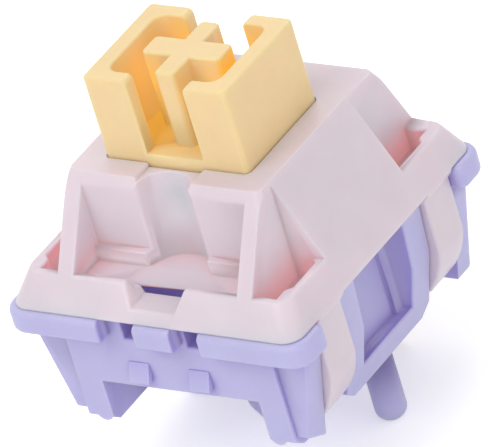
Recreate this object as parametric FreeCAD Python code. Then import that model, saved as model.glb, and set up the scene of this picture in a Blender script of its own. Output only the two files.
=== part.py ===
import FreeCAD, Part
import math
import os

# Mechanical keyboard switch, linear, with a box-shaped stem head around the keycap cross.
# Millimetres. +Z is up, +X is right, -Y is the front with the light window.
# The origin is the axis of the centre post, at the face that meets the circuit board.

os.makedirs("parts", exist_ok=True)

# Heights of the main planes
plate_z = 4.95
rim_height = 1.15
tower_height = 5.15
stem_height = 4.10
travel = 4.0

# Footprint of the two mouldings: the rim leads, the others are set in from it
rim_half = 7.80
rim_radius = 1.05
rim_end_radius = 0.45
rim_top_round = 0.30
rim_low_round = 0.22
body_inset = 0.80
body_radius = 0.45
body_taper = 1.00
body_straight_z = 4.30
flange_inset_x = 0.30
flange_inset_y = 0.20
flange_radius = 0.90
tower_half_x = 4.95
tower_front = 4.00
tower_back = 5.35
tower_radius = 0.40
tower_crease_y = 3.00
tower_back_drop = 0.13

# Cover details
band_height = 1.45
band_wall = 1.35
pillar_width = 0.80
recess_half_x = 4.22
recess_back = 4.30
recess_floor = 0.95
ledge_height = 0.70
ledge_depth = 0.40
lamp_y = 5.08
lamp_groove_radius = 1.62
lip_trough_half = 1.42
lip_trough_depth = 0.18
notch_half_bottom = 1.12
notch_half_top = 1.62
notch_floor = 0.55
slot_half_x = 2.40
slot_width = 0.40
panel_half_y = 3.25
pocket_floor = 0.30
pocket_wall = 1.12
pocket_step = 0.30
cover_wall = 0.90
roof_thickness = 1.00
window_clearance = 0.06

# Clip legs of the cover and the catches that hold them
leg_width = 2.05
leg_inset = 0.30
leg_thickness = 1.10
leg_straight_z = 3.10
leg_shoulder = 0.38
leg_bow = 0.20
leg_tip_inset = 1.20
leg_tip_z = 0.80
hook_depth = 0.45
hook_height = 0.75
hook_chamfer = 0.15
catch_lip = 0.25
catch_slope = 1.60
hook_room = 0.50
clip_gap = 0.06

# Base details
wall = 0.90
back_wall = 0.95
corner_width = 1.34
floor_thickness = 0.90
foot_step = 0.20
foot_step_width = 0.58
foot_chamfer_y = 0.50
foot_chamfer_z = 0.40
foot_slope_y = 1.25
foot_slope_z = 0.70
foot_pad_radius = 0.45
foot_pad_z = 0.62
foot_pad_length = 0.80
lamp_window_half = 4.07
lamp_window_top = 2.30
tub_wall = 1.20
rim_tab_half = 0.95
rim_slot_left = 1.87
rim_slot_right = 1.45
rim_slot_depth = 0.80
port_inset = 0.20
port_width = 1.00
port_sill = 0.15
rib_left = -2.25
rib_right = 0.88
rib_width = 1.03
rib_top = 3.65
rib_height = 0.93
rib_lip = 0.04
rib_proud = 0.40
frame_gap = 0.15
frame_post = 1.35
frame_inset_top = 0.05
frame_inset_mid = 0.25
frame_taper = 0.93
frame_mid_z = 3.20
frame_bar = 1.15
frame_depth = 1.30
frame_chamfer = 0.45
frame_ledge_width = 0.60
frame_ledge_proud = 0.20

# Posts under the base
post_radius = 2.00
post_length = 3.30
post_chamfer = 0.40
post_chamfer_height = 0.80
peg_x = 5.08
peg_radius = 0.72
peg_round = 0.58
peg_cover = 0.02
pole_bore_radius = 1.10
bore_floor = 0.70
sleeve_wall = 0.55
sleeve_height = 1.00
guide_width = 0.80
guide_clearance = 0.10

# Stem
head_half_x = 3.69
head_half_y = 2.85
head_radius = 0.25
head_wall_x = 0.85
head_wall_y = 0.72
head_well_radius = 0.55
head_gap_half = 1.45
head_gap_round = 0.30
head_floor_drop = 3.75
head_floor_thickness = 1.05
cross_arm = 2.00
cross_bar_x = 0.64
cross_bar_y = 0.50
cross_radius = 0.25
skirt_length = 3.20
rail_proud = 0.72
rail_half_y = 1.10
rail_gap = 0.05
rail_room = 0.19
stem_room = 0.25
spring_bore_radius = 2.38
pole_radius = 1.00
pole_chamfer = 0.33
pole_clearance = 1.20
cam_x = 2.05
cam_width = 0.80
cam_reach = 0.95
cam_root = 0.30
cam_drop = 1.55
cam_relief = 0.50
cam_lead = 0.50
cam_crest = 0.50
cam_slope = 1.00

# Return spring
wire_radius = 0.125
coil_radius = 2.05
coil_turns = 9
steps_per_turn = 14
wire_sides = 8
spring_gap = 0.03

# Contacts
sheet = 0.20
fixed_pin_x = -3.81
fixed_pin_y = 2.54
moving_pin_x = 2.54
moving_pin_y = 5.08
pin_width = 0.95
pin_length = 3.00
pin_tip_half = 0.16
pin_gap = 0.06
leaf_plate_height = 1.60
contact_y = 3.62
contact_gap = 0.35
contact_headroom = 3.15
contact_margin = 0.12
contact_bar_x = 0.30
bar_radius = 0.16
bar_length = 0.80
arm_width = 0.90

# How far joined shapes run into each other, and how far cutting shapes reach past a surface
overlap = 0.20
past = 1.00
touching = 0.001

# Places worked out from the sizes above
seat_z = plate_z + rim_height
tower_z = seat_z + tower_height
stem_z = tower_z + stem_height
band_z = seat_z + band_height
roof_z = tower_z - roof_thickness
body_half = rim_half - body_inset
base_half_x = body_half - body_taper
foot_step_x = base_half_x - foot_step_width
flange_half_x = rim_half - flange_inset_x
flange_half_y = rim_half - flange_inset_y
band_back = flange_half_y - band_wall
pillar_x = recess_half_x + pillar_width
leg_outer_x = flange_half_x - leg_inset
leg_inner_x = leg_outer_x - leg_thickness
leg_tip_x = leg_outer_x - leg_tip_inset
clip_room_y = body_half - corner_width
leg_outer_y = clip_room_y - clip_gap
leg_inner_y = leg_outer_y - leg_width
frame_half_y = leg_inner_y - frame_gap
side_wall_x = leg_inner_x - hook_depth - hook_room
frame_top_x = body_half - frame_inset_top
frame_mid_x = body_half - frame_inset_mid
frame_low_x = max(peg_x + peg_radius + peg_cover, frame_mid_x - frame_taper)
frame_recess_x = frame_mid_x - frame_depth
rail_x = head_half_x + rail_proud
cavity_half_x = rail_x + rail_room
cavity_front = head_half_y + stem_room
cavity_back = body_half - back_wall
lamp_well_back = cavity_front + tub_wall
front_wall_y = body_half - wall
head_floor_z = stem_z - head_floor_drop
spring_seat_z = head_floor_z - head_floor_thickness
skirt_z = roof_z - rail_gap - skirt_length
cam_low_z = skirt_z - cam_drop
cam_crest_y = head_half_y + cam_reach
pole_tip_z = bore_floor - post_length + travel + pole_clearance
sleeve_radius = pole_bore_radius + sleeve_wall
leaf_root_z = floor_thickness + leaf_plate_height
contact_top = roof_z - contact_headroom
leaf_bar_y = contact_y + 2 * bar_radius + contact_gap


def box(x0, x1, y0, y1, z0, z1):
    return Part.makeBox(x1 - x0, y1 - y0, z1 - z0, FreeCAD.Vector(x0, y0, z0))


def cylinder(radius, x, y, z0, z1):
    return Part.makeCylinder(radius, z1 - z0, FreeCAD.Vector(x, y, z0))


def prism(points, direction):
    """A closed outline of corner points, pushed along a vector."""
    corners = [FreeCAD.Vector(*point) for point in points]
    outline = Part.makePolygon(corners + [corners[0]])
    return Part.Face(outline).extrude(FreeCAD.Vector(*direction))


def prism_xz(outline, y0, y1):
    return prism([(x, y0, z) for x, z in outline], (0, y1 - y0, 0))


def prism_yz(outline, x0, x1):
    return prism([(x0, y, z) for y, z in outline], (x1 - x0, 0, 0))


def prism_xy(outline, z0, z1):
    return prism([(x, y, z0) for x, y in outline], (0, 0, z1 - z0))


def rounded_outline(x0, x1, y0, y1, radius, z):
    """A rectangle with round corners, as four lines and four arcs."""
    corners = [(x1 - radius, y1 - radius, 0), (x0 + radius, y1 - radius, 90),
               (x0 + radius, y0 + radius, 180), (x1 - radius, y0 + radius, 270)]
    arcs = []
    for cx, cy, start in corners:
        ends = []
        for turn in (start, start + 45, start + 90):
            angle = math.radians(turn)
            ends.append(FreeCAD.Vector(cx + radius * math.cos(angle), cy + radius * math.sin(angle), z))
        arcs.append(Part.Arc(*ends).toShape())
    edges = []
    for index, arc in enumerate(arcs):
        following = arcs[(index + 1) % 4]
        edges.append(arc)
        edges.append(Part.LineSegment(arc.Vertexes[1].Point, following.Vertexes[0].Point).toShape())
    return Part.Wire(edges)


def rounded_block(x0, x1, y0, y1, radius, z0, z1):
    face = Part.Face(rounded_outline(x0, x1, y0, y1, radius, z0))
    return face.extrude(FreeCAD.Vector(0, 0, z1 - z0))


def both_sides(solid, normal):
    """The solid and its mirror image across the origin plane with this normal."""
    twin = solid.mirror(FreeCAD.Vector(0, 0, 0), FreeCAD.Vector(*normal))
    return [solid, twin]


def four_corners(solid):
    pair = both_sides(solid, (1, 0, 0))
    return pair + [piece.mirror(FreeCAD.Vector(0, 0, 0), FreeCAD.Vector(0, 1, 0)) for piece in pair]


def edges_where(solid, test):
    """The edges of a solid whose centres pass a test."""
    return [edge for edge in solid.Edges if test(edge.CenterOfMass)]


def side_slope(z):
    """Half width of the cover's sloping side at a height."""
    share = (z - seat_z) / tower_height
    return flange_half_x + share * (tower_half_x - flange_half_x)


def back_slope(z):
    """Distance of the cover's sloping back from the axis at a height."""
    share = (z - seat_z) / tower_height
    return flange_half_y + share * (tower_back - flange_half_y)


def clip_leg():
    """One clip leg of the cover, bowed and hooked inwards at its tip, at +X and +Y."""
    hook_x = leg_inner_x - hook_depth
    hook_top = leg_tip_z + hook_height
    chord = FreeCAD.Vector(leg_outer_x - leg_tip_x, 0, leg_straight_z - leg_tip_z)
    out = FreeCAD.Vector(chord.z, 0, -chord.x).normalize()
    knee = FreeCAD.Vector(leg_outer_x, leg_inner_y, leg_straight_z)
    tip = FreeCAD.Vector(leg_tip_x, leg_inner_y, leg_tip_z)
    bow = Part.Arc(knee, (knee + tip) * 0.5 + out * leg_bow, tip).toShape()
    rest = [(leg_tip_x, leg_tip_z), (hook_x, leg_tip_z), (hook_x, hook_top - hook_chamfer),
            (hook_x + hook_chamfer, hook_top), (leg_inner_x, hook_top), (leg_inner_x, seat_z),
            (flange_half_x, seat_z), (leg_outer_x, seat_z - leg_shoulder), (leg_outer_x, leg_straight_z)]
    straight = Part.makePolygon([FreeCAD.Vector(x, leg_inner_y, z) for x, z in rest])
    outline = Part.Wire(straight.Edges + [bow])
    return Part.Face(outline).extrude(FreeCAD.Vector(0, leg_width, 0))


def corner_pocket():
    """The hollow between a pillar and a side panel, stepped at its outer corner, at +X and +Y."""
    far_x = flange_half_x - pocket_wall
    step_x = far_x - pocket_step
    step_y = band_back - 2 * pocket_step
    outline = [(pillar_x, panel_half_y), (step_x, panel_half_y), (far_x, panel_half_y + pocket_step),
               (far_x, step_y - pocket_step), (step_x, step_y), (step_x, band_back), (pillar_x, band_back)]
    low = prism_xy(outline, seat_z + pocket_floor, band_z + overlap)
    high = box(pillar_x, rim_half, panel_half_y, rim_half, band_z, tower_z + past)
    return low.fuse(high)


def light_recess():
    """The cutting shapes of the recess in the sloping front, with its ledge and its groove for the lamp."""
    floor_z = seat_z + recess_floor
    ledge_z = floor_z + ledge_height
    return [box(-recess_half_x, recess_half_x, -rim_half, -recess_back, max(band_z, ledge_z), tower_z + past),
            box(-recess_half_x, recess_half_x, -band_back, -recess_back - ledge_depth, floor_z, tower_z),
            box(-recess_half_x, recess_half_x, -rim_half, -band_back, band_z, tower_z + past),
            cylinder(lamp_groove_radius, 0, -lamp_y, floor_z, tower_z + past),
            box(-lip_trough_half, lip_trough_half, -lamp_y, -head_half_y, tower_z - lip_trough_depth,
                tower_z + past)]


def band_notch():
    """The cutting shapes of the notch in the front band and of the slot behind it."""
    notch = [(-notch_half_bottom, seat_z + notch_floor), (notch_half_bottom, seat_z + notch_floor),
             (notch_half_top, band_z + overlap), (-notch_half_top, band_z + overlap)]
    return [prism_xz(notch, -rim_half, -band_back + slot_width),
            box(-slot_half_x, slot_half_x, -band_back + slot_width, -band_back + 2 * slot_width,
                seat_z - past, band_z)]


def top_housing():
    base = rounded_outline(-flange_half_x, flange_half_x, -flange_half_y, flange_half_y, flange_radius, seat_z)
    crown = rounded_outline(-tower_half_x, tower_half_x, -tower_front, tower_back, tower_radius, tower_z)
    cover = Part.makeLoft([base, crown], True, True)
    cuts = light_recess() + band_notch() + four_corners(corner_pocket())

    # The top falls away slightly behind the stem
    fall = [(tower_crease_y, tower_z), (tower_back, tower_z - tower_back_drop),
            (tower_back + past, tower_z - tower_back_drop), (tower_back + past, tower_z + past),
            (tower_crease_y, tower_z + past)]
    cuts.append(prism_yz(fall, -rim_half, rim_half))

    # Stem window and the hollow inside
    window_x = head_half_x + window_clearance
    window_y = head_half_y + window_clearance
    cuts.append(rounded_block(-window_x, window_x, -window_y, window_y, head_radius + window_clearance,
                              seat_z - past, tower_z + past))
    cuts.append(box(-cavity_half_x, cavity_half_x, -cavity_front, back_slope(roof_z) - cover_wall, seat_z, roof_z))
    side_hollow = [(0, seat_z), (side_slope(seat_z) - cover_wall, seat_z), (side_slope(roof_z) - cover_wall, roof_z),
                   (0, roof_z)]
    cuts += both_sides(prism_xz(side_hollow, -panel_half_y + cover_wall, panel_half_y - cover_wall), (1, 0, 0))
    back_hollow = [(0, seat_z), (cavity_back, seat_z), (back_slope(roof_z) - cover_wall, roof_z), (0, roof_z)]
    cuts.append(prism_yz(back_hollow, -cavity_half_x + cover_wall, cavity_half_x - cover_wall))
    return cover.cut(cuts).fuse(four_corners(clip_leg())).removeSplitter()


def rim():
    """The rim that lies on the plate, open at the clip legs, with round edges and a tab between two slots."""
    ring = rounded_block(-rim_half, rim_half, -rim_half, rim_half, rim_radius, plate_z, seat_z)
    side_gap = box(side_wall_x, rim_half + past, -clip_room_y, clip_room_y, plate_z - past, seat_z + past)
    ring = ring.cut(both_sides(side_gap, (1, 0, 0)))
    middle_z = (plate_z + seat_z) / 2
    ends = edges_where(ring, lambda c: abs(c.z - middle_z) < touching and abs(abs(c.x) - rim_half) < touching)
    ring = ring.makeFillet(rim_end_radius, ends)
    for height, radius in ((plate_z, rim_low_round), (seat_z, rim_top_round)):
        border = edges_where(ring, lambda c: abs(c.z - height) < touching and abs(c.y) > clip_room_y + touching)
        ring = ring.makeFillet(radius, border)
    slots = [box(x0, x1, -rim_half - past, -rim_half + rim_slot_depth, plate_z - past, seat_z + past)
             for x0, x1 in ((-rim_tab_half - rim_slot_left, -rim_tab_half),
                            (rim_tab_half, rim_tab_half + rim_slot_right))]
    return ring.cut(slots)


def side_frame():
    """The open frame between two clip legs, with its recess and a shallow strip in it, at +X."""
    inner_x = side_wall_x - overlap
    outline = [(inner_x, 0), (frame_low_x, 0), (frame_mid_x, frame_mid_z), (frame_top_x, seat_z), (inner_x, seat_z)]
    block = prism_xz(outline, -frame_half_y, frame_half_y)
    corner = [(frame_half_y - frame_chamfer, 0), (frame_half_y, frame_chamfer), (frame_half_y + past, frame_chamfer),
              (frame_half_y + past, -past), (frame_half_y - frame_chamfer, -past)]
    corners = both_sides(prism_yz(corner, side_wall_x, rim_half), (0, 1, 0))
    opening = frame_half_y - frame_post
    recess = box(frame_recess_x, rim_half, -opening, opening, frame_bar, seat_z + past)
    strip = box(frame_recess_x - overlap, frame_recess_x + frame_ledge_proud, opening - frame_ledge_width,
                opening + overlap, frame_bar - overlap, seat_z)
    return block.cut(corners + [recess]).fuse(strip)


def catch():
    """The sloped catch under which one clip leg hooks, at +X and +Y."""
    inner_x = side_wall_x - overlap
    reach = leg_inner_x - clip_gap
    low_z = leg_tip_z + hook_height + clip_gap
    outline = [(inner_x, low_z), (reach, low_z), (reach, low_z + catch_lip), (inner_x, low_z + catch_slope)]
    return prism_xz(outline, leg_inner_y - clip_gap, clip_room_y)


def front_foot():
    """The cutting shapes that set the foot's outer part back and slope its underside, at +X."""
    front = -body_half
    inner_slope = [(front, foot_chamfer_z), (front + foot_chamfer_y, 0), (front + foot_chamfer_y, -past),
                   (front - past, -past), (front - past, foot_chamfer_z)]
    outer_slope = [(front, foot_slope_z), (front + foot_slope_y, 0), (front + foot_slope_y, -past),
                   (front - past, -past), (front - past, foot_slope_z)]
    return [box(foot_step_x, rim_half, -rim_half, front + foot_step, -past, plate_z),
            prism_yz(inner_slope, 0, rim_half),
            prism_yz(outer_slope, foot_step_x, rim_half)]


def foot_pad():
    """The round pad at the inner edge of a front foot, at +X."""
    start = FreeCAD.Vector(lamp_window_half + foot_pad_radius, -body_half, foot_pad_z)
    return Part.makeCylinder(foot_pad_radius, foot_pad_length, start, FreeCAD.Vector(0, 1, 0))


def base_body():
    """The tapered block of the base with its round corners, before it is hollowed."""
    low = rounded_outline(-base_half_x, base_half_x, -body_half, body_half, body_radius, 0)
    high = rounded_outline(-body_half, body_half, -body_half, body_half, body_radius, body_straight_z)
    block = Part.makeLoft([low, high], True, True)
    upper = rounded_block(-body_half, body_half, -body_half, body_half, body_radius, body_straight_z, seat_z)
    sides = box(side_wall_x, rim_half, -clip_room_y, clip_room_y, -past, seat_z + past)
    cuts = both_sides(sides, (1, 0, 0))
    for shape in front_foot():
        cuts += both_sides(shape, (1, 0, 0))
    return block.fuse(upper).cut(cuts).fuse(both_sides(foot_pad(), (1, 0, 0)))


def rib(x):
    """One wedge on the front wall, proud at its lower end, from x to the right."""
    inside = -body_half + overlap
    low_z = rib_top - rib_height
    outline = [(inside, rib_top), (-body_half - rib_lip, rib_top), (-body_half - rib_proud, low_z), (inside, low_z)]
    return prism_yz(outline, x, x + rib_width)


def centre_post():
    """The hollow post with its spring sleeve, turned about the origin axis."""
    tip_z = -post_length
    sleeve_z = floor_thickness + sleeve_height
    outline = [(0, tip_z), (post_radius - post_chamfer, tip_z), (post_radius, tip_z + post_chamfer_height),
               (post_radius, floor_thickness), (sleeve_radius, floor_thickness), (sleeve_radius, sleeve_z),
               (0, sleeve_z)]
    corners = [FreeCAD.Vector(r, 0, z) for r, z in outline]
    face = Part.Face(Part.makePolygon(corners + [corners[0]]))
    return face.revolve(FreeCAD.Vector(0, 0, 0), FreeCAD.Vector(0, 0, 1), 360)


def locating_peg():
    """One round-ended peg, turned about its own axis, at +X."""
    tip_z = -post_length
    side = peg_round * math.sqrt(0.5)
    start = FreeCAD.Vector(0, 0, tip_z)
    flat = FreeCAD.Vector(peg_radius - peg_round, 0, tip_z)
    middle = FreeCAD.Vector(peg_radius - peg_round + side, 0, tip_z + peg_round - side)
    shoulder = FreeCAD.Vector(peg_radius, 0, tip_z + peg_round)
    upper = FreeCAD.Vector(peg_radius, 0, floor_thickness / 2)
    centre = FreeCAD.Vector(0, 0, floor_thickness / 2)
    edges = [Part.LineSegment(start, flat).toShape(), Part.Arc(flat, middle, shoulder).toShape(),
             Part.LineSegment(shoulder, upper).toShape(), Part.LineSegment(upper, centre).toShape(),
             Part.LineSegment(centre, start).toShape()]
    peg = Part.Face(Part.Wire(edges)).revolve(FreeCAD.Vector(0, 0, 0), FreeCAD.Vector(0, 0, 1), 360)
    peg.translate(FreeCAD.Vector(peg_x, 0, 0))
    return peg


def guide():
    """One upright guide beside a rail of the stem, at +X and +Y."""
    near_y = rail_half_y + guide_clearance
    return box(head_half_x + guide_clearance, cavity_half_x + overlap, near_y, near_y + guide_width,
               floor_thickness - overlap, seat_z)


def bottom_housing():
    shell = base_body().fuse([rim()])
    shell = shell.fuse(both_sides(side_frame(), (1, 0, 0)) + four_corners(catch()))

    # Slider cavity, light well, light window and the two ports behind the slots of the rim
    port_x = rim_tab_half + port_inset
    port = box(port_x, port_x + port_width, -rim_half, -front_wall_y + overlap, plate_z - port_sill, seat_z + past)
    cuts = [box(-cavity_half_x, cavity_half_x, -cavity_front, cavity_back, floor_thickness, seat_z + past),
            box(-lamp_window_half, lamp_window_half, -front_wall_y, -lamp_well_back, -past, seat_z + past),
            box(-lamp_window_half, lamp_window_half, -rim_half, -lamp_well_back, -past, lamp_window_top)]
    shell = shell.cut(cuts + both_sides(port, (1, 0, 0)))

    # Ribs, posts and bores
    shell = shell.fuse([rib(rib_left), rib(rib_right)] + both_sides(locating_peg(), (1, 0, 0)))
    shell = shell.fuse(four_corners(guide()) + [centre_post()])
    bores = [cylinder(pole_bore_radius, 0, 0, -post_length + bore_floor, seat_z)]
    for x, y in ((fixed_pin_x, fixed_pin_y), (moving_pin_x, moving_pin_y)):
        bores.append(box(x - pin_width / 2 - pin_gap, x + pin_width / 2 + pin_gap,
                         y - sheet / 2 - pin_gap, y + sheet / 2 + pin_gap, -past, floor_thickness + past))
    return shell.cut(bores)


def head_cross():
    """The keycap cross, two crossed bars with round ends."""
    low = head_floor_z - head_floor_thickness / 2
    bar_x = rounded_block(-cross_arm, cross_arm, -cross_bar_x, cross_bar_x, cross_radius, low, stem_z)
    bar_y = rounded_block(-cross_bar_y, cross_bar_y, -cross_arm, cross_arm, cross_radius, low, stem_z)
    return bar_x.fuse(bar_y)


def contact_cam():
    """One cam leg on the back of the skirt, thinner above its crest so that it lets the leaf go."""
    root_y = head_half_y - cam_root
    foot_y = cam_crest_y - cam_relief
    crest_z = cam_low_z + cam_lead
    top_z = roof_z - rail_gap
    outline = [(root_y, cam_low_z), (foot_y, cam_low_z), (cam_crest_y, crest_z), (cam_crest_y, crest_z + cam_crest),
               (foot_y, crest_z + cam_crest + cam_slope), (foot_y, top_z - (foot_y - root_y)), (root_y, top_z)]
    return prism_yz(outline, cam_x, cam_x + cam_width)


def stem():
    head = rounded_block(-head_half_x, head_half_x, -head_half_y, head_half_y, head_radius, skirt_z, stem_z)
    inner_x = head_half_x - head_wall_x
    inner_y = head_half_y - head_wall_y
    well = rounded_block(-inner_x, inner_x, -inner_y, inner_y, head_well_radius, head_floor_z, stem_z + past)
    gap = box(-head_gap_half, head_gap_half, -head_half_y - past, head_half_y + past, head_floor_z, stem_z + past)
    spring_bore = cylinder(spring_bore_radius, 0, 0, skirt_z - past, spring_seat_z)
    head = head.cut([well, gap, spring_bore])

    # The walls are round where the gap opens
    lips = edges_where(head, lambda c: abs(c.z - stem_z) < touching and abs(abs(c.x) - head_gap_half) < touching)
    head = head.makeFillet(head_gap_round, lips)
    rails = both_sides(box(inner_x, rail_x, -rail_half_y, rail_half_y, skirt_z, roof_z - rail_gap), (1, 0, 0))
    rails = [rail.cut(spring_bore) for rail in rails]
    pole = cylinder(pole_radius, 0, 0, pole_tip_z, spring_seat_z + overlap)
    tip = edges_where(pole, lambda c: abs(c.z - pole_tip_z) < touching)
    pole = pole.makeChamfer(pole_chamfer, tip)
    cams = both_sides(contact_cam(), (1, 0, 0))
    return head.fuse(rails + cams + [pole, head_cross()]).removeSplitter()


def wire_section(turn, z, climb):
    """The wire's many-sided section at one place on the coil, square to the wire."""
    angle = 2 * math.pi * turn
    out = FreeCAD.Vector(math.cos(angle), math.sin(angle), 0)
    along = FreeCAD.Vector(-2 * math.pi * coil_radius * out.y, 2 * math.pi * coil_radius * out.x, climb)
    up = along.normalize().cross(out)
    corners = []
    for side in range(wire_sides):
        lean = 2 * math.pi * side / wire_sides
        reach = out * (wire_radius * math.cos(lean)) + up * (wire_radius * math.sin(lean))
        corners.append(out * coil_radius + FreeCAD.Vector(0, 0, z) + reach)
    return Part.makePolygon(corners + [corners[0]])


def return_spring():
    """A coil of wire between the floor of the base and the seat inside the stem, with closed end turns."""
    low = floor_thickness + wire_radius + spring_gap
    high = spring_seat_z - wire_radius - spring_gap
    closed_climb = 2 * wire_radius + spring_gap
    open_climb = (high - low - 2 * closed_climb) / (coil_turns - 2)
    sections = []
    z = low
    for step in range(coil_turns * steps_per_turn + 1):
        turn = step / steps_per_turn
        climb = closed_climb if turn < 1 or turn >= coil_turns - 1 else open_climb
        sections.append(wire_section(turn, z, climb))
        z += climb / steps_per_turn
    return Part.makeLoft(sections, True, True)


def pin(x, y, top_z):
    """One flat solder pin with a pointed tip."""
    half = pin_width / 2
    outline = [(x - half, top_z), (x - half, -pin_length + half), (x - pin_tip_half, -pin_length),
               (x + pin_tip_half, -pin_length), (x + half, -pin_length + half), (x + half, top_z)]
    return prism_xz(outline, y - sheet / 2, y + sheet / 2)


def fixed_contact():
    """A stamped strip on the floor, with its pin at one end and the contact tongue at the other."""
    half = pin_width / 2
    strip_z = floor_thickness + sheet
    leg = pin(fixed_pin_x, fixed_pin_y, strip_z)
    strip = box(fixed_pin_x - half, contact_bar_x + half, fixed_pin_y - sheet / 2, contact_y,
                floor_thickness, strip_z)
    tongue = box(contact_bar_x - half, contact_bar_x + half, contact_y - sheet, contact_y,
                 floor_thickness, contact_top)
    return leg.fuse([strip, tongue]).removeSplitter()


def bent_strip(line, x0, x1):
    """A strip of the leaf: a bent line in the YZ plane with the sheet's thickness, from x0 to x1."""
    outer = [(y + sheet, z) for y, z in reversed(line)]
    return prism_yz(line + outer, x0, x1)


def moving_contact():
    """The leaf: an upright plate on its pin, two arms that rest on the cams and a contact tongue."""
    plate_y = moving_pin_y - sheet / 2
    leg = pin(moving_pin_x, moving_pin_y, leaf_root_z)
    plate = box(-cam_x - cam_width, max(cam_x + cam_width, moving_pin_x + pin_width / 2), plate_y,
                plate_y + sheet, floor_thickness + pin_gap, leaf_root_z)
    touch_y = cam_crest_y + pin_gap
    touch_z = cam_low_z + cam_lead + cam_crest / 2
    arm_line = [(plate_y, leaf_root_z - sheet), (touch_y, touch_z), (touch_y + cam_relief, touch_z + cam_slope)]
    arm = bent_strip(arm_line, cam_x, cam_x + cam_width)
    bar_low = contact_top - bar_length - contact_margin
    tongue_line = [(plate_y, leaf_root_z - sheet), (leaf_bar_y, bar_low - contact_margin), (leaf_bar_y, contact_top)]
    tongue = bent_strip(tongue_line, contact_bar_x - arm_width / 2, contact_bar_x + arm_width / 2)
    return leg.fuse([plate, tongue] + both_sides(arm, (1, 0, 0))).removeSplitter()


def contact_bar(back_y, towards, upright):
    """One half-round contact bar against a face, bulging towards +Y or -Y."""
    bar_z = contact_top - contact_margin - bar_length / 2
    start = FreeCAD.Vector(contact_bar_x - bar_length / 2, back_y, bar_z)
    along = FreeCAD.Vector(1, 0, 0)
    if upright:
        start = FreeCAD.Vector(contact_bar_x, back_y, bar_z - bar_length / 2)
        along = FreeCAD.Vector(0, 0, 1)
    bar = Part.makeCylinder(bar_radius, bar_length, start, along)
    kept = box(-body_half, body_half, min(back_y, back_y + towards), max(back_y, back_y + towards), 0, stem_z)
    return bar.common(kept)


nodes = {
    "top_housing": top_housing(),
    "bottom_housing": bottom_housing(),
    "stem": stem(),
    "return_spring": return_spring(),
    "fixed_contact": fixed_contact(),
    "moving_contact": moving_contact(),
    "fixed_crosspoint": contact_bar(contact_y, 1, False),
    "moving_crosspoint": contact_bar(leaf_bar_y, -1, True),
}
for name, solid in nodes.items():
    print(name, len(solid.Solids), solid.isValid(), round(solid.Volume, 3))
    solid.exportStep("parts/" + name + ".step")
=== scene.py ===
# %% [markdown]
# A mechanical keyboard switch, dressed for its picture.
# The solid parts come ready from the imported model, in metres and in one shared frame.
# This lesson softens their edges, gives each plastic and metal its finish, and sets up light and camera.

# %% Load the frame
import math

import bmesh
import bpy
from mathutils import Matrix, Vector
from mathutils.geometry import intersect_point_line


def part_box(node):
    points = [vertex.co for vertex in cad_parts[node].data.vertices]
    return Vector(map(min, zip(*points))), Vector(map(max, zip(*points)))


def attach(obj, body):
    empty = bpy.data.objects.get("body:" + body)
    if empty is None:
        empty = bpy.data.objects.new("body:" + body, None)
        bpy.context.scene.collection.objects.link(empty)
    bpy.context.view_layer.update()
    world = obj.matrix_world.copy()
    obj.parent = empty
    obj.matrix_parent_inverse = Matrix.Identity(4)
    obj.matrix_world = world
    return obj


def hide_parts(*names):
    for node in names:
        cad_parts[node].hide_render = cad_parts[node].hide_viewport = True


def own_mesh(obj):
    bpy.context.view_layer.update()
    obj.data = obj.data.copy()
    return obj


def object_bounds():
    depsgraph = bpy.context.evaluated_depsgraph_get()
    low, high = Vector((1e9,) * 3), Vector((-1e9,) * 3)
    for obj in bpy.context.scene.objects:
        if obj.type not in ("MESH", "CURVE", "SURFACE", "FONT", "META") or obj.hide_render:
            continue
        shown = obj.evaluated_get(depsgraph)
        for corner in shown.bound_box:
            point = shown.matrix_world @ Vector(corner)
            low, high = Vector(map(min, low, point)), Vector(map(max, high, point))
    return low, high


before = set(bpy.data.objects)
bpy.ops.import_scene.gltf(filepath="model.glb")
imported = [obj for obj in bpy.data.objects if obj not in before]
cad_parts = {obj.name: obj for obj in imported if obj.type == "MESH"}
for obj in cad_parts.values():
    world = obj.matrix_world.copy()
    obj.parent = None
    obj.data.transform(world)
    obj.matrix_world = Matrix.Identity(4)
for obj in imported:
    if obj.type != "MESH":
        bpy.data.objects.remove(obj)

MM = 0.001
cad_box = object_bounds()
scene = bpy.context.scene
print("nodes:", ", ".join(sorted(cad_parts)))

# %% [markdown]
# The camera stands where the photographer stood. The picture is a close view with very little
# perspective, so the camera is far away behind a long lens. Its place is worked out from the point it
# looks at, two angles and the distance, and then it is rolled, because the picture leans to the left.

# %% The camera
PICTURE_WIDTH = 488
FOCAL_PIXELS = 8892.6
SENSOR = 36.0
AIM = Vector((0.183, -0.032, 6.263)) * MM
DISTANCE = 380.67 * MM
AZIMUTH = math.radians(41.128)
ELEVATION = math.radians(31.461)
ROLL = math.radians(-17.230)

back = Vector((math.sin(AZIMUTH) * math.cos(ELEVATION), -math.cos(AZIMUTH) * math.cos(ELEVATION),
               math.sin(ELEVATION)))
level = Vector((math.cos(AZIMUTH), math.sin(AZIMUTH), 0))
upright = back.cross(level)
right = level * math.cos(ROLL) + upright * math.sin(ROLL)
up = upright * math.cos(ROLL) - level * math.sin(ROLL)

camera_data = bpy.data.cameras.new("camera")
camera_data.sensor_width = SENSOR
camera_data.lens = FOCAL_PIXELS / PICTURE_WIDTH * SENSOR
camera_data.clip_start = 0.01
camera_data.clip_end = 10
camera = bpy.data.objects.new("camera", camera_data)
turn = Matrix((right, up, back)).transposed().to_4x4()
camera.matrix_world = Matrix.Translation(AIM + back * DISTANCE) @ turn
scene.collection.objects.link(camera)
scene.camera = camera
scene.view_settings.view_transform = "Standard"
print("lens", round(camera_data.lens, 1), "mm")
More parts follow.
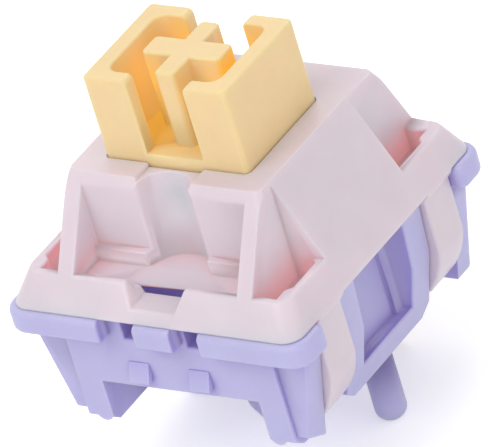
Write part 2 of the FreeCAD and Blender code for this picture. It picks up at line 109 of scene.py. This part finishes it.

# %% [markdown]
# The colours are given as screen values from 0 to 255, but a shader works with linear light.
# This helper does the usual conversion once, so that every colour below can stay in screen values.


# %% Colours
def linear(red, green, blue):
    """A screen colour as the linear colour that a shader socket takes."""
    levels = []
    for value in (red, green, blue):
        share = value / 255
        levels.append(share / 12.92 if share <= 0.04045 else ((share + 0.055) / 1.055) ** 2.4)
    return (*levels, 1.0)


# %% [markdown]
# The picture has a pure white ground. It could be made with more light, but that would bleach the switch.
# So the ground is told apart by the kind of ray: a ray from the camera, a mirror or a clear body sees it
# brighter than the rays that light the object do. Floor and world share this test.


# %% Rays that see the ground
def seen_directly(tree):
    """A value of 1 for the rays that show the ground, and 0 for the rays that light the object."""
    path = tree.nodes.new("ShaderNodeLightPath")
    value = path.outputs["Is Camera Ray"]
    for name in ("Is Glossy Ray", "Is Transmission Ray"):
        either = tree.nodes.new("ShaderNodeMath")
        either.operation = "MAXIMUM"
        tree.links.new(value, either.inputs[0])
        tree.links.new(path.outputs[name], either.inputs[1])
        value = either.outputs[0]
    return value


# %% [markdown]
# The floor lies under the ends of the post and the pegs, where the switch stands. It is plain white card
# that adds a little light of its own for the rays that see it, and it keeps the soft shadow of the switch.

# %% The floor
FLOOR_SIZE = 3.0
FLOOR_WHITE = 0.88
FLOOR_GLOW = 0.42


def floor_material():
    material = bpy.data.materials.new("white_ground")
    material.use_nodes = True
    tree = material.node_tree
    tree.nodes.clear()
    card = tree.nodes.new("ShaderNodeBsdfDiffuse")
    card.inputs["Color"].default_value = (FLOOR_WHITE, FLOOR_WHITE, FLOOR_WHITE, 1)
    glow = tree.nodes.new("ShaderNodeEmission")
    strength = tree.nodes.new("ShaderNodeMath")
    strength.operation = "MULTIPLY"
    strength.inputs[1].default_value = FLOOR_GLOW
    tree.links.new(seen_directly(tree), strength.inputs[0])
    tree.links.new(strength.outputs[0], glow.inputs["Strength"])
    both = tree.nodes.new("ShaderNodeAddShader")
    tree.links.new(card.outputs[0], both.inputs[0])
    tree.links.new(glow.outputs[0], both.inputs[1])
    output = tree.nodes.new("ShaderNodeOutputMaterial")
    tree.links.new(both.outputs[0], output.inputs["Surface"])
    return material


def make_object(name, bm, material):
    """An object at the origin that holds the finished mesh."""
    mesh = bpy.data.meshes.new(name)
    bm.to_mesh(mesh)
    bm.free()
    mesh.materials.append(material)
    piece = bpy.data.objects.new(name, mesh)
    scene.collection.objects.link(piece)
    return piece


ground = bmesh.new()
bmesh.ops.create_grid(ground, x_segments=1, y_segments=1, size=FLOOR_SIZE / 2,
                      matrix=Matrix.Translation((0, 0, cad_box[0].z)))
floor = make_object("floor", ground, floor_material())
print("floor at", round(cad_box[0].z / MM, 2), "mm")

# %% [markdown]
# The world is the bright tent around the table. It lights everything evenly from all sides, so that no
# recess goes black, and where the camera looks past the floor it is pure white.

# %% The world
WORLD_LIGHT = 0.63
world = bpy.data.worlds.new("studio")
scene.world = world
world.use_nodes = True
sky = world.node_tree
background = sky.nodes["Background"]
background.inputs["Color"].default_value = (1, 1, 1, 1)
lift = sky.nodes.new("ShaderNodeMapRange")
lift.inputs["To Min"].default_value = WORLD_LIGHT
lift.inputs["To Max"].default_value = 1.0
sky.links.new(seen_directly(sky), lift.inputs["Value"])
sky.links.new(lift.outputs["Result"], background.inputs["Strength"])
print("world light", WORLD_LIGHT)

# %% [markdown]
# The light is that of a small photo tent: a wide lamp high on the left, a weaker one on the right, one
# low in front that reaches under the rim, and one behind that draws a bright line along the rounded
# edges. Each lamp is given by the direction it comes from and by how bright a white card under it would
# look, because that is easier to judge than watts.


# %% Lamps
LAMP_DISTANCE = 0.40


def lamp(name, azimuth, elevation, brightness, size):
    """A square soft lamp that aims at the switch. Brightness 1 makes a white card that faces it white."""
    a, e = math.radians(azimuth), math.radians(elevation)
    towards = Vector((math.sin(a) * math.cos(e), -math.cos(a) * math.cos(e), math.sin(e)))
    data = bpy.data.lights.new(name, "AREA")
    data.shape = "SQUARE"
    data.size = size
    data.energy = brightness * (math.pi * LAMP_DISTANCE) ** 2
    holder = bpy.data.objects.new(name, data)
    holder.location = AIM + towards * LAMP_DISTANCE
    holder.rotation_mode = "QUATERNION"
    holder.rotation_quaternion = (-towards).to_track_quat("-Z", "Y")
    scene.collection.objects.link(holder)


lamp("key_lamp", -20, 55, 0.33, 0.30)
lamp("fill_lamp", 75, 24, 0.09, 0.30)
lamp("low_lamp", 42, 4, 0.14, 0.30)
lamp("edge_lamp", 200, 50, 0.16, 0.20)

# %% [markdown]
# No moulded or stamped surface is quite even. Both kinds of finish below use noise on Object
# coordinates, which stay with a piece when it moves, and stretch its values to the range they need.

# %% Noise for the finishes
NOISE_LOW = 0.3
NOISE_HIGH = 0.7
GRAIN_SCALE = 9000
CLOUD_SCALE = 420


def noise(tree, vector, scale, detail):
    texture = tree.nodes.new("ShaderNodeTexNoise")
    texture.inputs["Scale"].default_value = scale
    texture.inputs["Detail"].default_value = detail
    tree.links.new(vector, texture.inputs["Vector"])
    return texture.outputs["Fac"]


def spread(tree, value, low, high):
    """A noise value, which lies mostly in its middle range, stretched to run from low to high."""
    stretch = tree.nodes.new("ShaderNodeMapRange")
    stretch.inputs["From Min"].default_value = NOISE_LOW
    stretch.inputs["From Max"].default_value = NOISE_HIGH
    stretch.inputs["To Min"].default_value = low
    stretch.inputs["To Max"].default_value = high
    tree.links.new(value, stretch.inputs["Value"])
    return stretch.outputs["Result"]


print("grain of", round(1 / GRAIN_SCALE / MM, 2), "mm, clouds of", round(1 / CLOUD_SCALE / MM, 1), "mm")

# %% [markdown]
# All three mouldings are a slightly milky plastic. Light goes in, wanders and comes out nearby, so
# recesses glow in a deeper colour instead of going grey. Subsurface scattering does the near part of it.
# For the light that comes through whole walls, an occlusion term paints a deeper, darker colour where the surface is
# closed in, which is painted shade and painted glow, and adds emission there as a painted glow. Fine noise gives the
# grain of the tool, and a slower one the faint clouds of flow in the plastic.

# %% A milky plastic
FINISH_SPREAD = 0.04
GRAIN_STRENGTH = 0.06
GRAIN_HEIGHT = 0.01 * MM
SCATTER_SHARE = 0.4
SCATTER_DEPTH = 1.2 * MM
PLASTIC_IOR = 1.5
CREASE_SAMPLES = 8


def plastic(name, colours, crease_reach, open_from, scatter, painted_glow_colour, painted_glow_strength, roughness):
    """A milky moulded plastic, pale where it is open, with painted shade and painted glow in a deeper colour in its
    recesses.
    """
    open_colour, cloud_colour, painted_recess_colour = (linear(*colour) for colour in colours)
    material = bpy.data.materials.new(name)
    material.use_nodes = True
    tree = material.node_tree
    shader = tree.nodes["Principled BSDF"]
    place = tree.nodes.new("ShaderNodeTexCoord").outputs["Object"]

    clouds = tree.nodes.new("ShaderNodeMix")
    clouds.data_type = "RGBA"
    tree.links.new(spread(tree, noise(tree, place, CLOUD_SCALE, 3), 0, 1), clouds.inputs["Factor"])
    clouds.inputs["A"].default_value = open_colour
    clouds.inputs["B"].default_value = cloud_colour

    # Painted shade and painted glow: occlusion mixes a deeper, darker colour into the recesses.
    closeness = tree.nodes.new("ShaderNodeAmbientOcclusion")
    closeness.samples = CREASE_SAMPLES
    closeness.only_local = True
    closeness.inputs["Distance"].default_value = crease_reach
    closed = tree.nodes.new("ShaderNodeMapRange")
    closed.inputs["From Max"].default_value = open_from
    closed.inputs["To Min"].default_value = 1
    closed.inputs["To Max"].default_value = 0
    tree.links.new(closeness.outputs["AO"], closed.inputs["Value"])
    painted_recess_tint = tree.nodes.new("ShaderNodeMix")
    painted_recess_tint.data_type = "RGBA"
    tree.links.new(closed.outputs["Result"], painted_recess_tint.inputs["Factor"])
    tree.links.new(clouds.outputs["Result"], painted_recess_tint.inputs["A"])
    painted_recess_tint.inputs["B"].default_value = painted_recess_colour
    tree.links.new(painted_recess_tint.outputs["Result"], shader.inputs["Base Color"])

    patches = noise(tree, place, CLOUD_SCALE * 4, 4)
    tree.links.new(spread(tree, patches, roughness - FINISH_SPREAD, roughness + FINISH_SPREAD),
                   shader.inputs["Roughness"])
    grain = tree.nodes.new("ShaderNodeBump")
    grain.inputs["Strength"].default_value = GRAIN_STRENGTH
    grain.inputs["Distance"].default_value = GRAIN_HEIGHT
    tree.links.new(noise(tree, place, GRAIN_SCALE, 2), grain.inputs["Height"])
    tree.links.new(grain.outputs["Normal"], shader.inputs["Normal"])

    # Painted glow: the same mask makes the recesses emit light, though the plastic is no lamp.
    painted_glow = tree.nodes.new("ShaderNodeMath")
    painted_glow.operation = "MULTIPLY"
    painted_glow.inputs[1].default_value = painted_glow_strength
    tree.links.new(closed.outputs["Result"], painted_glow.inputs[0])
    tree.links.new(painted_glow.outputs[0], shader.inputs["Emission Strength"])
    shader.inputs["Emission Color"].default_value = linear(*painted_glow_colour)

    shader.inputs["Subsurface Weight"].default_value = SCATTER_SHARE
    shader.inputs["Subsurface Radius"].default_value = scatter
    shader.inputs["Subsurface Scale"].default_value = SCATTER_DEPTH
    shader.inputs["IOR"].default_value = PLASTIC_IOR
    return material


# %% [markdown]
# Each plastic has three tints: its open colour, that of its clouds, and a deeper one that is painted into its
# recesses as painted shade and painted glow. There the pink cover is painted salmon, the lilac base violet and the
# yellow stem orange, and each also gets a painted glow by emission. The base has shallow recesses, so its occlusion
# reaches further.

# %% The three plastics
# The third colour, the emission colour and its level of each plastic are painted recess shade and painted glow.
cover_plastic = plastic("cover_plastic", ((226, 213, 221), (220, 207, 217), (216, 152, 156)), 2.0 * MM, 0.75,
                        (1.0, 0.45, 0.45), (255, 176, 172), 0.28, 0.36)
base_plastic = plastic("base_plastic", ((196, 194, 232), (191, 188, 228), (96, 60, 168)), 3.2 * MM, 1.05,
                       (0.45, 0.40, 1.0), (190, 160, 255), 0.14, 0.40)
stem_plastic = plastic("stem_plastic", ((243, 216, 164), (239, 211, 158), (240, 174, 2)), 2.0 * MM, 0.75,
                       (1.0, 0.55, 0.15), (255, 206, 40), 0.40, 0.36)
print("plastics:", cover_plastic.name, base_plastic.name, stem_plastic.name)

# %% [markdown]
# Inside are a steel spring, stamped brass and gold contact bars. A metal's look is its reflection, so
# the colour hardly changes and the noise goes mostly into the roughness. It is drawn out along one axis,
# which gives the fine lines of rolled and drawn metal.

# %% The metals
DARKER_LINE = 0.93
LINES_SMOOTHER = 0.06
LINES_ROUGHER = 0.08
SCRATCH_STRENGTH = 0.08
SCRATCH_DEPTH = 0.004 * MM


def metal(name, colour, roughness, stretch):
    """A metal with fine lines, drawn out by a stretch of the pattern along each axis."""
    material = bpy.data.materials.new(name)
    material.use_nodes = True
    tree = material.node_tree
    shader = tree.nodes["Principled BSDF"]
    place = tree.nodes.new("ShaderNodeTexCoord").outputs["Object"]
    drawn = tree.nodes.new("ShaderNodeMapping")
    drawn.inputs["Scale"].default_value = stretch
    tree.links.new(place, drawn.inputs["Vector"])
    lines = noise(tree, drawn.outputs["Vector"], GRAIN_SCALE / 2, 3)
    shade = tree.nodes.new("ShaderNodeMix")
    shade.data_type = "RGBA"
    tree.links.new(spread(tree, lines, 0, 1), shade.inputs["Factor"])
    shade.inputs["A"].default_value = linear(*colour)
    shade.inputs["B"].default_value = linear(*[value * DARKER_LINE for value in colour])
    tree.links.new(shade.outputs["Result"], shader.inputs["Base Color"])
    tree.links.new(spread(tree, lines, roughness - LINES_SMOOTHER, roughness + LINES_ROUGHER),
                   shader.inputs["Roughness"])
    scratch = tree.nodes.new("ShaderNodeBump")
    scratch.inputs["Strength"].default_value = SCRATCH_STRENGTH
    scratch.inputs["Distance"].default_value = SCRATCH_DEPTH
    tree.links.new(lines, scratch.inputs["Height"])
    tree.links.new(scratch.outputs["Normal"], shader.inputs["Normal"])
    shader.inputs["Metallic"].default_value = 1.0
    return material


spring_steel = metal("spring_steel", (196, 198, 202), 0.24, (1, 1, 0.2))
contact_brass = metal("contact_brass", (214, 176, 100), 0.28, (1, 1, 0.15))
contact_gold = metal("contact_gold", (248, 206, 112), 0.18, (0.2, 1, 1))
print("metals:", spring_steel.name, contact_brass.name, contact_gold.name)

# %% [markdown]
# A moulded edge is never sharp: the tool leaves a small radius, and that radius catches the bright
# line that makes plastic look like plastic. A rounding must keep one width along a smooth line, or its
# corners turn into spikes. So the hard edges are first grouped into lines that have no corner in them.

# %% Lines of hard edges
STRAIGHT_ON = math.cos(math.radians(35))


def run_on(edge, hard):
    """The hard edges that carry on from this one without a corner."""
    onward = []
    for end in edge.verts:
        along = (end.co - edge.other_vert(end).co).normalized()
        for other in end.link_edges:
            if other != edge and other in hard:
                away = (other.other_vert(end).co - end.co).normalized()
                if away.dot(along) > STRAIGHT_ON:
                    onward.append(other)
    return onward


def smooth_lines(hard):
    """The hard edges grouped into lines that have no corner in them."""
    waiting = set(hard)
    lines = []
    while waiting:
        line = [waiting.pop()]
        for edge in line:
            for other in run_on(edge, hard):
                if other in waiting:
                    waiting.remove(other)
                    line.append(other)
        lines.append(line)
    return lines


# %% [markdown]
# A narrow face has little room for a rounding. For each line the nearest neighbour on the same faces is
# measured, end to end and across, because two roundings that run into each other fold the mesh.


# %% The room beside a line
def off_edge(point, edge):
    """The distance of a point from the nearest place on an edge."""
    start, finish = (end.co for end in edge.verts)
    share = intersect_point_line(point, start, finish)[1]
    return (point - start.lerp(finish, min(max(share, 0.0), 1.0))).length


def room_beside(line, line_length):
    """The nearest line or edge on the same faces, because a rounding may take only a share of the room."""
    members = set(line)
    corners = {end for edge in line for end in edge.verts}
    room = line_length[line[0]]
    for edge in line:
        for end in edge.verts:
            for other in end.link_edges:
                if other not in members:
                    room = min(room, line_length.get(other, other.calc_length()))
        for face in edge.link_faces:
            for other in face.edges:
                if corners.isdisjoint(other.verts):
                    room = min(room, *[off_edge(end.co, edge) for end in other.verts],
                               *[off_edge(end.co, other) for end in edge.verts])
    return room


# %% [markdown]
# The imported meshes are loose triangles. So a copy of each is merged, its flat faces are joined back into
# whole ones, and every sharp outer edge gets a weight for the Bevel modifier: 1 for the full width, less
# where there is less room. The Weighted Normal modifier then keeps the flat faces flat in the light.

# %% Soft edges
SAME_PLACE = 0.0004 * MM
FLAT = math.radians(0.6)
HARD = math.radians(24)
SHARE_OF_ROOM = 0.42
ROUNDING_SEGMENTS = 3


def softened(node, piece_name, width, material, body, reshape=None):
    """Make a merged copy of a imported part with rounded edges, which stands for the part in the picture."""
    bm = bmesh.new()
    bm.from_mesh(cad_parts[node].data)
    bmesh.ops.remove_doubles(bm, verts=bm.verts, dist=SAME_PLACE)
    bmesh.ops.dissolve_limit(bm, angle_limit=FLAT, verts=bm.verts, edges=bm.edges, use_dissolve_boundaries=False)
    if reshape:
        reshape(bm)
    weight = bm.edges.layers.float.new("bevel_weight_edge")
    hard = {edge for edge in bm.edges if edge.calc_face_angle_signed() > HARD}
    lines = smooth_lines(hard)
    line_length = {edge: sum(piece.calc_length() for piece in line) for line in lines for edge in line}
    for line in lines:
        share = min(1.0, SHARE_OF_ROOM * room_beside(line, line_length) / width)
        for edge in line:
            edge[weight] = share
    for face in bm.faces:
        face.smooth = True
    open_edges = sum(1 for edge in bm.edges if len(edge.link_faces) != 2)
    print(piece_name, len(bm.faces), "faces,", len(lines), "lines to round,", open_edges, "open edges")
    piece = make_object(piece_name, bm, material)
    rounding = piece.modifiers.new("round_edges", "BEVEL")
    rounding.limit_method = "WEIGHT"
    rounding.width = width
    rounding.segments = ROUNDING_SEGMENTS
    rounding.use_clamp_overlap = False
    rounding.loop_slide = False
    weigh = piece.modifiers.new("even_light", "WEIGHTED_NORMAL")
    weigh.keep_sharp = False
    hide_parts(node)
    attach(piece, body)


# %% [markdown]
# The cover is thin in two places that the solid leaves thicker. The lamp groove runs up to the stem, so
# the top of its wall leans back. The floor of the recess dips a little towards the slot and ends there in
# a thin edge, so the slot is narrow on top and wide below, and the lilac base shows through it.

# %% The thin places of the cover
NEAR = 0.01 * MM
GROOVE_Z = 11.07 * MM
GROOVE_X = 1.40 * MM
GROOVE_FRONT_Y = -4.05 * MM
GROOVE_BACK_Y = -3.30 * MM
GROOVE_LEAN = 0.36 * MM
SLOT_X = 2.5 * MM
SLOT_BACK_Y = -5.45 * MM
FLOOR_Z = 7.05 * MM
SEAT_Z = 6.10 * MM
FLOOR_EDGE = (-5.62 * MM, 6.84 * MM)
SEAT_EDGE = (-4.45 * MM, SEAT_Z)


def thin_places(bm):
    """Lean the groove's wall back, and move the slot's back edges, given as places along Y and Z."""
    arch = [vert for vert in bm.verts if abs(vert.co.z - GROOVE_Z) < NEAR and abs(vert.co.x) < GROOVE_X
            and GROOVE_FRONT_Y < vert.co.y < GROOVE_BACK_Y]
    slot_back = [vert for vert in bm.verts if abs(vert.co.y - SLOT_BACK_Y) < NEAR and abs(vert.co.x) < SLOT_X]
    for vert in arch:
        vert.co.y += GROOVE_LEAN
    for level_z, edge in ((FLOOR_Z, FLOOR_EDGE), (SEAT_Z, SEAT_EDGE)):
        for vert in slot_back:
            if abs(vert.co.z - level_z) < NEAR:
                vert.co.yz = edge
    print("groove and slot:", len(arch), "and", len(slot_back), "corners")


# %% [markdown]
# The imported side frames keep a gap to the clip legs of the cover, for the fit. In the picture the legs
# lie close to the frames, so the ends of the frames come nearer by the thickness of a sheet of paper.

# %% The frames of the base
FRAME_X = 5.2 * MM
FRAME_Y = 3.40 * MM
FRAME_CLOSE_Y = 3.52 * MM


def close_frames(bm):
    """Bring the ends of the side frames nearer to the clip legs."""
    ends = [vert for vert in bm.verts if abs(abs(vert.co.y) - FRAME_Y) < NEAR and abs(vert.co.x) > FRAME_X]
    for vert in ends:
        vert.co.y = math.copysign(FRAME_CLOSE_Y, vert.co.y)
    print("frames:", len(ends), "corners")


# %% [markdown]
# Each moulding gets its softened copy here. The stamped strips have only the thin burr of the press taken off. The
# two contact bars are small and sharp as imported, and only get their gold.

# %% The softened pieces
COVER_ROUNDING = 0.14 * MM
ROUNDING = 0.12 * MM
BURR = 0.02 * MM

softened("top_housing", "cover_shell", COVER_ROUNDING, cover_plastic, "housing", thin_places)
softened("bottom_housing", "base_shell", ROUNDING, base_plastic, "housing", close_frames)
softened("stem", "slider", ROUNDING, stem_plastic, "stem")
softened("fixed_contact", "fixed_strip", BURR, contact_brass, "housing")
softened("moving_contact", "moving_leaf", BURR, contact_brass, "housing")

for node in ("fixed_crosspoint", "moving_crosspoint"):
    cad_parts[node].data.materials.clear()
    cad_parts[node].data.materials.append(contact_gold)

# %% [markdown]
# The return spring is drawn wire, so it is spun anew with a round section: one closed turn, the open
# turns and one closed turn again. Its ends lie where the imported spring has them.


# %% The wire of the return spring
def only_edges(parts):
    return [part for part in parts if isinstance(part, bmesh.types.BMEdge)]


WIRE_RADIUS = 0.125 * MM
COIL_RADIUS = 2.05 * MM
TURNS = 9
CLOSED_CLIMB = 0.28 * MM
STEPS_PER_TURN = 32
WIRE_SIDES = 12

spring_low, spring_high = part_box("return_spring")
start_z = spring_low.z + WIRE_RADIUS
free_climb = spring_high.z - spring_low.z - 2 * WIRE_RADIUS
open_climb = free_climb - 2 * CLOSED_CLIMB

wire = bmesh.new()
upright_ring = Matrix.Translation((COIL_RADIUS, 0, start_z)) @ Matrix.Rotation(math.pi / 2, 4, "X")
section = bmesh.ops.create_circle(wire, cap_ends=False, segments=WIRE_SIDES, radius=WIRE_RADIUS, matrix=upright_ring)
ring = section["verts"] + list({edge for vert in section["verts"] for edge in vert.link_edges})
bmesh.ops.edgenet_fill(wire, edges=only_edges(ring))
for turns, climb in ((1, CLOSED_CLIMB), (TURNS - 2, open_climb), (1, CLOSED_CLIMB)):
    steps = turns * STEPS_PER_TURN
    spun = bmesh.ops.spin(wire, geom=ring, cent=(0, 0, 0), axis=(0, 0, 1), dvec=(0, 0, climb / steps),
                          angle=2 * math.pi * turns, steps=steps)
    ring = spun["geom_last"]
bmesh.ops.edgenet_fill(wire, edges=only_edges(ring))
bmesh.ops.remove_doubles(wire, verts=wire.verts, dist=SAME_PLACE)
bmesh.ops.recalc_face_normals(wire, faces=wire.faces)
for face in wire.faces:
    face.smooth = len(face.verts) == 4
print("spring:", len(wire.faces), "faces,", sum(1 for edge in wire.edges if len(edge.link_faces) != 2), "open edges")

# %% [markdown]
# The spring stands on the floor of the base. It takes the place of the imported spring and goes with the housing.

# %% The return spring
spring = make_object("coil_spring", wire, spring_steel)
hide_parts("return_spring")
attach(spring, "housing")
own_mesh(spring)
